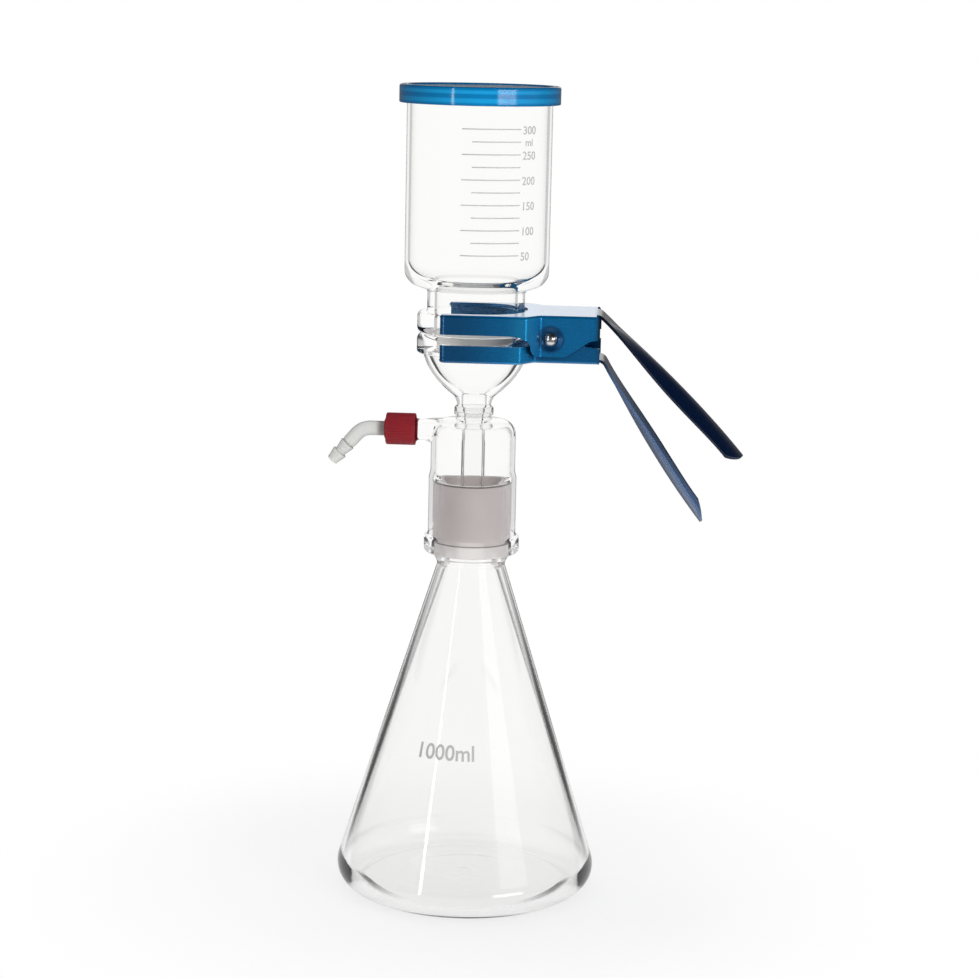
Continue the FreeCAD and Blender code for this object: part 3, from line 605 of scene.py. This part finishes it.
def makeLatheTree():
    # Turns a row of profile points about Z
    graph = Shape("lathe", {"Profile": "Geometry", "Columns": "Int", "Segments": "Int",
                            "Finish": "Material"})
    given = graph.given
    columns = given["Columns"]
    segments = given["Segments"]
    grid = graph.add("GeometryNodeMeshGrid", None,
                     {"Vertices X": columns, "Vertices Y": segments + 1})
    index = graph.add("GeometryNodeInputIndex")
    perColumn = segments + 1
    column = (index / perColumn).maths("FLOOR", index / perColumn + 1e-4)
    step = index - column * perColumn
    count = graph.add("GeometryNodeAttributeDomainSize", None, {0: given["Profile"]})
    wrapped = column.maths("MODULO", column, count)
    where = graph.add("GeometryNodeInputPosition")
    sampled = graph.add("GeometryNodeSampleIndex", {"data_type": "FLOAT_VECTOR"},
                        {"Geometry": given["Profile"], "Value": where, "Index": wrapped})
    radius, _, height = graph.split(sampled)
    angle = step * (2.0 * math.pi) / segments
    spun = graph.add("ShaderNodeCombineXYZ", None,
                     {0: radius * angle.maths("COSINE", angle),
                      1: radius * angle.maths("SINE", angle), 2: height})
    placed = graph.add("GeometryNodeSetPosition", None, {"Geometry": grid, "Position": spun})
    merged = graph.add("GeometryNodeMergeByDistance", None,
                       {"Geometry": placed, "Distance": 2e-6})
    return graph.close(graph.add("GeometryNodeSetShadeSmooth", None, {"Geometry": merged}))


def runTree(name, source, tree, values):
    # Evaluates a node tree on a mesh and keeps the result as a plain object
    carrier = bpy.data.objects.new(name + "Source", source)
    bpy.context.scene.collection.objects.link(carrier)
    modifier = carrier.modifiers.new("shape", "NODES")
    modifier.node_group = tree
    for item in tree.interface.items_tree:
        if item.in_out == "INPUT" and item.name in values:
            modifier[item.identifier] = values[item.name]
    shaped = carrier.evaluated_get(bpy.context.evaluated_depsgraph_get())
    mesh = bpy.data.meshes.new_from_object(shaped)
    bpy.data.objects.remove(carrier)
    mesh.name = name
    return mesh


def faceOutwards(mesh):
    work = bmesh.new()
    work.from_mesh(mesh)
    bmesh.ops.recalc_face_normals(work, faces=work.faces)
    if work.calc_volume(signed=True) < 0:
        bmesh.ops.reverse_faces(work, faces=work.faces)
    work.to_mesh(mesh)
    work.free()


def addPiece(name, mesh, body, replaced=()):
    piece = bpy.data.objects.new(name, mesh)
    bpy.context.scene.collection.objects.link(piece)
    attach(piece, body)
    if replaced:
        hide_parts(*replaced)
    return piece


latheTree = makeLatheTree()


def turned(name, corners, finish, closed=True, segments=192):
    points = roundedOutline(corners, closed)
    profile = bpy.data.meshes.new(name + "Profile")
    profile.from_pydata([(r, 0, z) for r, z in points], [], [])
    mesh = runTree(name, profile, latheTree, {
        "Columns": len(points) + (1 if closed else 0),
        "Segments": segments,
        "Finish": finishes[finish],
    })
    faceOutwards(mesh)
    return mesh


def layAlongArm(mesh):
    # From about +Z to about the side arm's axis, pointing along -X
    mesh.transform(Matrix.Translation((0, 0, head["armHeight"] * mm))
                   @ Matrix.Rotation(math.radians(-90.0), 4, "Y"))


def paintZone(mesh, finish, inZone):
    mesh.materials.append(finishes[finish])
    index = len(mesh.materials) - 1
    for face in mesh.polygons:
        centre = face.center / mm
        inward = face.normal.dot(Vector((centre.x, centre.y, 0))) < -1e-6
        if inZone(math.hypot(centre.x, centre.y), centre.z, inward, face.normal):
            face.material_index = index


# The glassware's sizes are millimetres, and radii where the name says nothing else
flask = {
    "coneBase": 73.8, "heel": 12.5, "foot": 38.0, "punt": 1.4, "floor": 3.6, "wall": 3.0,
    "waist": 17.7, "waistHeight": 178.2, "jointBottom": 184.0, "jointLength": 38.0,
    "jointRadius": 20.0, "taper": 0.05, "neckBore": 14.2, "coneBore": 14.9,
    "groundFrom": 5.6, "groundTo": 37.0, "groundLine": 0.7, "heelTop": 15.6,
    "coneSkin": 17.3,             # the ground cone is outside this radius, its bore inside
}


flaskSlope = (flask["coneBase"] - flask["waist"]) / flask["waistHeight"]
jointTop = flask["jointBottom"] + flask["jointLength"]


def onJoint(rise):
    # A point of the ground cone's profile
    return (flask["jointRadius"] - flask["taper"] * rise, flask["jointBottom"] + rise, 0)


def makeFlask():
    shift = flask["wall"] * math.hypot(1.0, flaskSlope)
    floor = flask["floor"]
    mesh = turned("flaskGlass", [
        (0, flask["punt"], 0),
        (9.0, flask["punt"], 30),
        (flask["foot"], 0, 60),
        (flask["coneBase"], 0, flask["heel"]),
        (flask["waist"], flask["waistHeight"], 4),
        (flask["jointRadius"], flask["jointBottom"] - 1.8, 1.0),
        (flask["jointRadius"], flask["jointBottom"], 0.3),
        onJoint(flask["groundFrom"]),
        onJoint(flask["groundFrom"] + flask["groundLine"]),
        onJoint(flask["groundTo"]),
        onJoint(flask["groundTo"] + flask["groundLine"]),
        (flask["jointRadius"] - flask["taper"] * flask["jointLength"], jointTop, 1.0),
        (flask["coneBore"], jointTop, 1.0),
        (flask["neckBore"], flask["waistHeight"], 6),
        (flask["coneBase"] - flaskSlope * floor - shift, floor,
         flask["heel"] - flask["wall"] + 1.5),
        (flask["foot"], floor, 60),
        (9.0, floor + flask["punt"], 30),
        (0, floor + flask["punt"], 0),
    ], "clear", closed=False, segments=224)
    # The inside of the heel's front half, which gets painted shade
    paintZone(mesh, "heel", lambda radius, up, inward, normal:
              inward and normal.y > 0.02 and -0.25 < normal.z < 0.985
              and up < flask["heelTop"])
    start = flask["jointBottom"] + flask["groundFrom"]
    end = flask["jointBottom"] + flask["groundTo"]
    paintZone(mesh, "ground", lambda radius, up, inward, normal:
              radius > flask["coneSkin"] and start < up < end and normal.z < 0.6)
    for height in (start, end):
        paintZone(mesh, "groundLine", lambda radius, up, inward, normal:
                  radius > flask["coneSkin"] and height < up < height + flask["groundLine"])
    paintZone(mesh, "groundEdge", lambda radius, up, inward, normal:
              radius > flask["coneSkin"] and flask["jointBottom"] - 0.2 < up < start)
    return addPiece("flaskGlass", mesh, "flask", ["flask"])


head = {
    "sleeve": 23.2, "rim": 25.2, "rimHeight": 8.6, "clearance": 0.05,
    "chamber": 22.3, "chamberWall": 2.6, "chamberTop": 254.8,
    "stem": 9.0, "stemBore": 6.1, "bead": 10.3, "beadRise": 2.4, "beadHeight": 5.0,
    "drip": 5.9, "dripBore": 4.6, "dripTip": 189.0,
    "bowlBottom": 266.0, "bowl": 27.3, "bowlBore": 23.6, "contact": 300.6,
    "flange": 30.6, "flangeThick": 10.1, "disc": 20.5, "discThick": 4.5, "ledge": 1.8,
    "armHeight": 248.7, "arm": 5.5, "armBore": 3.6, "armEnd": 41.1, "flare": 8.6,
    "flareLength": 5.0, "threadCore": 6.3, "threadLength": 11.0,
    "socket": 4.8, "socketDepth": 8.0, "groundFrom": 7.5, "groundRing": 0.9,
    "coneFrom": 17.5, "coneTo": 20.4,
}


def insideCone(rise):
    radius, height, _ = onJoint(rise)
    return (radius + head["clearance"], height, 0)


def headOutline():
    seat = head["disc"] + 0.05
    ledgeHeight = head["contact"] - head["discThick"]
    under = head["contact"] - head["flangeThick"]
    sleeveTop = flask["jointRadius"] - flask["taper"] * (flask["jointLength"] + 1.0)
    chamberBore = head["chamber"] - head["chamberWall"]
    top, bottom = head["chamberTop"], head["bowlBottom"]
    bead = top + head["beadRise"]
    return [
        (seat, head["contact"], 0.3),
        (head["flange"], head["contact"], 3.2),
        (head["flange"], under, 1.2),
        (head["bowl"], under, 0.8),
        (head["bowl"] - 1.8, bottom + 18.6, 40),
        (head["bowl"] - 6.1, bottom + 11.4, 40),
        (head["bowl"] - 12.0, bottom + 5.3, 40),
        (head["stem"] + 1.4, bottom + 1.4, 1.6),
        (head["stem"], bottom - 2.0, 3),
        (head["stem"], bead + head["beadHeight"], 0.6),
        (head["bead"], bead + head["beadHeight"] - 0.6, 1.2),
        (head["bead"], bead + 0.4, 1.2),
        (head["stem"], bead, 0.6),
        (head["stem"], top + 0.4, 1.2),
        (head["chamber"], top - 0.8, 7.5),
        (head["chamber"], jointTop + 6.0, 4),
        (head["sleeve"], jointTop + 2.0, 4),
        (head["sleeve"], flask["jointBottom"] + head["rimHeight"] + 0.8, 1.2),
        (head["rim"], flask["jointBottom"] + head["rimHeight"], 1.2),
        (head["rim"], flask["jointBottom"], 2.4),
        (flask["jointRadius"] + head["clearance"], flask["jointBottom"], 0.4),
        insideCone(flask["jointLength"] - head["groundRing"]),
        insideCone(flask["jointLength"] - 0.1),
        (sleeveTop + head["clearance"], jointTop + 1.0, 0.8),
        (chamberBore, jointTop + 4.0, 1.5),
        (chamberBore, top - head["chamberWall"] - 0.8, 5.5),
        (head["drip"], top - head["chamberWall"], 2.0),
        (head["drip"], head["dripTip"], 0.6),
        (head["dripBore"], head["dripTip"], 0.6),
        (head["dripBore"], bead, 2),
        (head["stemBore"], bead + head["beadHeight"], 2),
        (head["stemBore"], bottom + 3.8, 1),
        (head["stemBore"] + 1.9, bottom + 4.6, 0.8),
        (head["bowlBore"] - 10.8, bottom + 8.0, 36),
        (head["bowlBore"] - 5.4, bottom + 13.6, 36),
        (head["bowlBore"] - 1.5, bottom + 20.4, 36),
        (head["bowlBore"], under + 0.6, 1.5),
        (seat - head["ledge"], under + 3.0, 1.5),
        (seat - head["ledge"], ledgeHeight, 0.3),
        (seat, ledgeHeight, 0.1),
    ]


def joinSolids(base, other, operation):
    # Adds or takes away one mesh from another and returns the result
    baseObject = bpy.data.objects.new("base", base)
    otherObject = bpy.data.objects.new("other", other)
    for item in (baseObject, otherObject):
        bpy.context.scene.collection.objects.link(item)
    modifier = baseObject.modifiers.new("join", "BOOLEAN")
    modifier.operation = operation
    modifier.solver = "EXACT"
    modifier.object = otherObject
    bpy.context.view_layer.update()
    shaped = baseObject.evaluated_get(bpy.context.evaluated_depsgraph_get())
    mesh = bpy.data.meshes.new_from_object(shaped)
    bpy.data.objects.remove(baseObject)
    bpy.data.objects.remove(otherObject)
    return mesh


def sliceOff(mesh, height):
    # Takes away all of a closed mesh above a height and closes the cut
    work = bmesh.new()
    work.from_mesh(mesh)
    everything = work.verts[:] + work.edges[:] + work.faces[:]
    cut = bmesh.ops.bisect_plane(work, geom=everything, dist=1e-7, plane_co=(0, 0, height),
                                 plane_no=(0, 0, 1), clear_outer=True)
    rim = [item for item in cut["geom_cut"] if isinstance(item, bmesh.types.BMEdge)]
    bmesh.ops.edgenet_fill(work, edges=rim)
    bmesh.ops.recalc_face_normals(work, faces=work.faces[:])
    work.to_mesh(mesh)
    work.free()


def makeHead():
    mesh = turned("headGlass", headOutline(), "pale", segments=160)
    bore = head["chamber"] - head["chamberWall"]
    roof = head["chamberTop"] - head["chamberWall"]
    arm = turned("arm", [
        (0, bore - 5.0, 0),
        (head["flare"], bore - 5.0, 0),
        (head["flare"], head["chamber"] - 2.6, 0.4),
        (head["arm"], head["chamber"] + head["flareLength"] - 2.0, 5),
        (head["arm"], head["armEnd"] - head["threadLength"] - 1.0, 1.0),
        (head["threadCore"], head["armEnd"] - head["threadLength"], 0.6),
        (head["threadCore"], head["armEnd"], 0.8),
        (0, head["armEnd"], 0),
    ], "clear", closed=False, segments=96)
    layAlongArm(arm)
    sliceOff(arm, (head["chamberTop"] - 0.6) * mm)      # the root stays under the dome's top
    dome = turned("dome", [
        (0, 215.0, 0),
        (bore, 215.0, 0),
        (bore, roof - 0.8, 5.5),
        (head["drip"], roof, 0),
        (0, roof, 0),
    ], "clear", closed=False)
    drill = turned("drill", [
        (0, head["drip"] + 3.0, 0),
        (head["armBore"], head["drip"] + 3.0, 0),
        (head["armBore"], head["armEnd"] - head["socketDepth"] - 1.2, 0),
        (head["socket"], head["armEnd"] - head["socketDepth"], 0),
        (head["socket"], head["armEnd"] + 1.0, 0),
        (0, head["armEnd"] + 1.0, 0),
    ], "clear", closed=False, segments=96)
    layAlongArm(drill)
    arm = joinSolids(arm, dome, "DIFFERENCE")
    mesh = joinSolids(mesh, arm, "UNION")
    mesh = joinSolids(mesh, drill, "DIFFERENCE")
    mesh.materials.clear()
    mesh.materials.append(finishes["pale"])
    for face in mesh.polygons:
        face.material_index = 0
    mesh.shade_smooth()
    mesh.set_sharp_from_angle(angle=math.radians(38.0))
    lineBottom = jointTop - head["groundRing"]

    def onCone(radius):
        return head["coneFrom"] < radius < head["coneTo"]

    paintZone(mesh, "inner", lambda radius, up, inward, normal:
              (inward and radius > head["stemBore"] + 0.6)
              or (not inward and radius < head["drip"] + 0.5 and up < roof))
    paintZone(mesh, "ground", lambda radius, up, inward, normal:
              (onCone(radius) and flask["jointBottom"] + head["groundFrom"] < up < lineBottom)
              or (up > head["contact"] - 0.05 and radius > 20.0))
    paintZone(mesh, "sleeve", lambda radius, up, inward, normal:
              not inward and head["chamber"] - 0.1 < radius < head["sleeve"] + 0.1
              and flask["jointBottom"] + head["rimHeight"] + 1.0 < up < head["chamberTop"] - 9.0)
    paintZone(mesh, "groundLine", lambda radius, up, inward, normal:
              onCone(radius) and lineBottom < up < jointTop - 0.1)
    # The bead is drawn darker, with painted shade
    paintZone(mesh, "bead", lambda radius, up, inward, normal:
              not inward and radius > head["stem"] - 0.4 and radius < head["bead"] + 0.2
              and head["chamberTop"] + 0.4 < up < head["bowlBottom"] - 3.6)
    mesh.name = "headGlass"
    return addPiece("headGlass", mesh, "filter_head", ["filter_bowl", "vacuum_chamber"])


funnel = {
    "face": 300.75, "flange": 30.6, "flangeTop": 311.85, "neck": 25.5, "throat": 20.9,
    "shoulder": 323.4, "rise": 4.2, "throatDepth": 3.6, "cup": 37.7, "wall": 2.4, "rim": 426.6,
}


def makeFunnel():
    bore = funnel["cup"] - funnel["wall"]
    rise = funnel["rise"] * (bore - funnel["throat"]) / (funnel["cup"] - funnel["neck"])
    mesh = turned("funnelGlass", [
        (funnel["throat"], funnel["face"], 0.5),
        (funnel["flange"], funnel["face"], 3.2),
        (funnel["flange"], funnel["flangeTop"], 2.2),
        (funnel["neck"], funnel["flangeTop"], 1.2),
        (funnel["neck"], funnel["shoulder"], 2.5),
        (funnel["cup"], funnel["shoulder"] + funnel["rise"], 13),
        (funnel["cup"], funnel["rim"], 1.1),
        (bore, funnel["rim"], 1.1),
        (bore, funnel["shoulder"] + funnel["throatDepth"] + rise, 10.8),
        (funnel["throat"], funnel["shoulder"] + funnel["throatDepth"], 2.5),
    ], "cup", segments=224)
    paintZone(mesh, "cupInside", lambda radius, up, inward, normal: inward)
    throatTop = funnel["shoulder"] + funnel["throatDepth"]
    # Painted shade round the top of the throat
    paintZone(mesh, "cupThroat", lambda radius, up, inward, normal:
              inward and radius < funnel["throat"] + 2.6 and throatTop - 3.0 < up < throatTop + 0.3)
    paintZone(mesh, "ground", lambda radius, up, inward, normal:
              up < funnel["face"] + 0.05 and radius > 21.0)
    return addPiece("funnelGlass", mesh, "filter_head", ["funnel"])


lidSizes = {"radius": 41.7, "top": 2.4, "depth": 9.4, "gap": 0.3, "edge": 1.2,
            "plugWall": 1.6, "plugDepth": 3.0, "brim": 3.4, "dip": 0.6}


def makeLid():
    plate = funnel["rim"] + 0.1
    top = plate + lidSizes["top"]
    skirt = funnel["cup"] + lidSizes["gap"]
    plug = funnel["cup"] - funnel["wall"] - lidSizes["gap"]
    mesh = turned("lidCover", [
        (0, plate, 0),
        (plug - lidSizes["plugWall"], plate, 0.4),
        (plug - lidSizes["plugWall"], plate - lidSizes["plugDepth"], 0.4),
        (plug, plate - lidSizes["plugDepth"], 0.4),
        (plug, plate, 0.3),
        (skirt, plate, 0.3),
        (skirt, top - lidSizes["depth"], 0.5),
        (lidSizes["radius"], top - lidSizes["depth"], 0.6),
        (lidSizes["radius"], top, lidSizes["edge"]),
        (lidSizes["radius"] - lidSizes["brim"], top, 0.4),
        (lidSizes["radius"] - lidSizes["brim"] - 0.5, top - lidSizes["dip"], 0.3),
        (0, top - lidSizes["dip"], 0),
    ], "lid", closed=False)
    return addPiece("lidCover", mesh, "lid", ["lid"])


makeFlask()
makeHead()
makeFunnel()
makeLid()
print("glass and lid ready")


scale = {
    "first": 344.5, "step": 12.74, "longCount": 6, "shortCount": 5,     # millimetres of height
    "longFrom": -10.0, "shortFrom": -2.0, "upTo": 37.5,                 # degrees round the cup
    "lineWidth": 0.6, "film": 0.05, "digitSize": 5.9, "digitFrom": 39.0,
    "weight": 0.09, "middle": 380.0, "lift": 0.045,
}
capacity = {"text": "1000ml", "size": 11.0, "height": 82.0, "from": -30.5, "film": 0.05,
            "lift": 0.05, "weight": 0.16}


def makeRulingTree():
    # Straight bars one above the other, still flat: X along the bar, Y out, Z up
    graph = Shape("ruling", {"Blank": "Geometry", "Count": "Int", "First": "Float",
                             "Step": "Float", "From": "Float", "Length": "Float",
                             "Width": "Float", "Film": "Float", "Finish": "Material"})
    given = graph.given
    size = graph.add("ShaderNodeCombineXYZ", None,
                     {0: given["Length"], 1: given["Film"], 2: given["Width"]})
    bar = graph.add("GeometryNodeMeshCube", None,
                    {"Size": size, "Vertices X": 24, "Vertices Y": 2, "Vertices Z": 2})
    start = graph.add("ShaderNodeCombineXYZ", None,
                      {0: given["From"] + given["Length"] * 0.5, 1: 0.0, 2: given["First"]})
    offset = graph.add("ShaderNodeCombineXYZ", None, {0: 0.0, 1: 0.0, 2: given["Step"]})
    row = graph.add("GeometryNodeMeshLine", None,
                    {"Count": given["Count"], "Start Location": start, "Offset": offset})
    return graph.close(graph.add("GeometryNodeInstanceOnPoints", None,
                                 {"Points": row, "Instance": bar}))


def makeWrapTree():
    # Bends flat printing round a cylinder or a cone about Z
    graph = Shape("wrap", {"Print": "Geometry", "Radius": "Float", "Slope": "Float",
                           "Middle": "Float", "Lift": "Float", "Finish": "Material"})
    given = graph.given
    where = graph.add("GeometryNodeInputPosition")
    along, out, up = graph.split(where)
    nominal = given["Radius"] - given["Slope"] * given["Middle"]
    angle = along / nominal
    radius = given["Radius"] - given["Slope"] * up + given["Lift"] - out
    bent = graph.add("ShaderNodeCombineXYZ", None,
                     {0: radius * angle.maths("SINE", angle),
                      1: radius * angle.maths("COSINE", angle) * -1.0, 2: up})
    return graph.close(graph.add("GeometryNodeSetPosition", None,
                                 {"Geometry": given["Print"], "Position": bent}))


rulingTree = makeRulingTree()
wrapTree = makeWrapTree()


def ruledLines(name, count, first, start):
    metresRound = funnel["cup"] * mm
    left = math.radians(start) * metresRound
    return runTree(name, bpy.data.meshes.new(name + "Blank"), rulingTree, {
        "Count": count, "First": first * mm, "Step": scale["step"] * mm, "From": left,
        "Length": math.radians(scale["upTo"]) * metresRound - left,
        "Width": scale["lineWidth"] * mm, "Film": scale["film"] * mm,
        "Finish": finishes["lineEnamel"],
    })


def flatText(words, size, left, bottom, film, weight):
    # Words as thin slabs standing in the XZ plane
    curve = bpy.data.curves.new("words", "FONT")
    curve.body = words
    curve.size = size * mm
    curve.extrude = film * mm / 2.0
    curve.resolution_u = 4
    curve.offset = weight * mm
    carrier = bpy.data.objects.new("words", curve)
    bpy.context.scene.collection.objects.link(carrier)
    shaped = carrier.evaluated_get(bpy.context.evaluated_depsgraph_get())
    mesh = bpy.data.meshes.new_from_object(shaped)
    bpy.data.objects.remove(carrier)
    mesh.transform(Matrix.Translation((left, 0, bottom * mm))
                   @ Matrix.Rotation(math.radians(90.0), 4, "X"))
    return mesh


def joinMeshes(name, meshes):
    work = bmesh.new()
    for mesh in meshes:
        work.from_mesh(mesh)
    bmesh.ops.remove_doubles(work, verts=work.verts, dist=1e-7)
    joined = bpy.data.meshes.new(name)
    work.to_mesh(joined)
    work.free()
    return joined


def makeScale():
    left = math.radians(scale["digitFrom"]) * funnel["cup"] * mm
    flat = [ruledLines("longLines", scale["longCount"], scale["first"], scale["longFrom"]),
            ruledLines("shortLines", scale["shortCount"], scale["first"] + scale["step"] / 2.0,
                       scale["shortFrom"])]
    for index in range(scale["longCount"]):
        height = scale["first"] + scale["step"] * index
        flat.append(flatText(str(50 * (index + 1)), scale["digitSize"], left,
                             height - scale["digitSize"] * 0.42, scale["film"],
                             scale["weight"]))
    flat.append(flatText("ml", scale["digitSize"] * 0.9, left + 1.6 * mm,
                         height - scale["digitSize"] * 1.42, scale["film"], scale["weight"]))
    mesh = runTree("scalePrint", joinMeshes("scaleFlat", flat), wrapTree, {
        "Radius": funnel["cup"] * mm, "Slope": 0.0, "Middle": scale["middle"] * mm,
        "Lift": scale["lift"] * mm,
        "Finish": finishes["enamel"],
    })
    faceOutwards(mesh)
    return addPiece("scalePrint", mesh, "filter_head")


def makeCapacity():
    radius = flask["coneBase"] - flaskSlope * capacity["height"]
    left = math.radians(capacity["from"]) * radius * mm
    flat = joinMeshes("capacityFlat", [flatText(capacity["text"], capacity["size"], left,
                                                capacity["height"], capacity["film"],
                                                capacity["weight"])])
    mesh = runTree("capacityPrint", flat, wrapTree, {
        "Radius": flask["coneBase"] * mm, "Slope": flaskSlope,
        "Middle": capacity["height"] * mm, "Lift": capacity["lift"] * mm,
        "Finish": finishes["enamel"],
    })
    faceOutwards(mesh)
    return addPiece("capacityPrint", mesh, "flask")


makeScale()
makeCapacity()
print("printing ready")


def dress(name, finish):
    # The small solids keep their own meshes
    slots = nodes[name].data.materials
    if len(slots):
        for index in range(len(slots)):
            slots[index] = finishes[finish]
    else:
        slots.append(finishes[finish])


for nodeName, finishName in (
        ("sintered_disc", "sintered"), ("screw_cap", "cap"), ("seal_ring", "seal"),
        ("hose_connector", "milky"), ("clamp_upper_jaw", "upperBlue"),
        ("clamp_lower_jaw", "lowerBlue"), ("pivot_pin", "rivet"), ("torsion_spring", "wire")):
    dress(nodeName, finishName)

print("pieces ready")
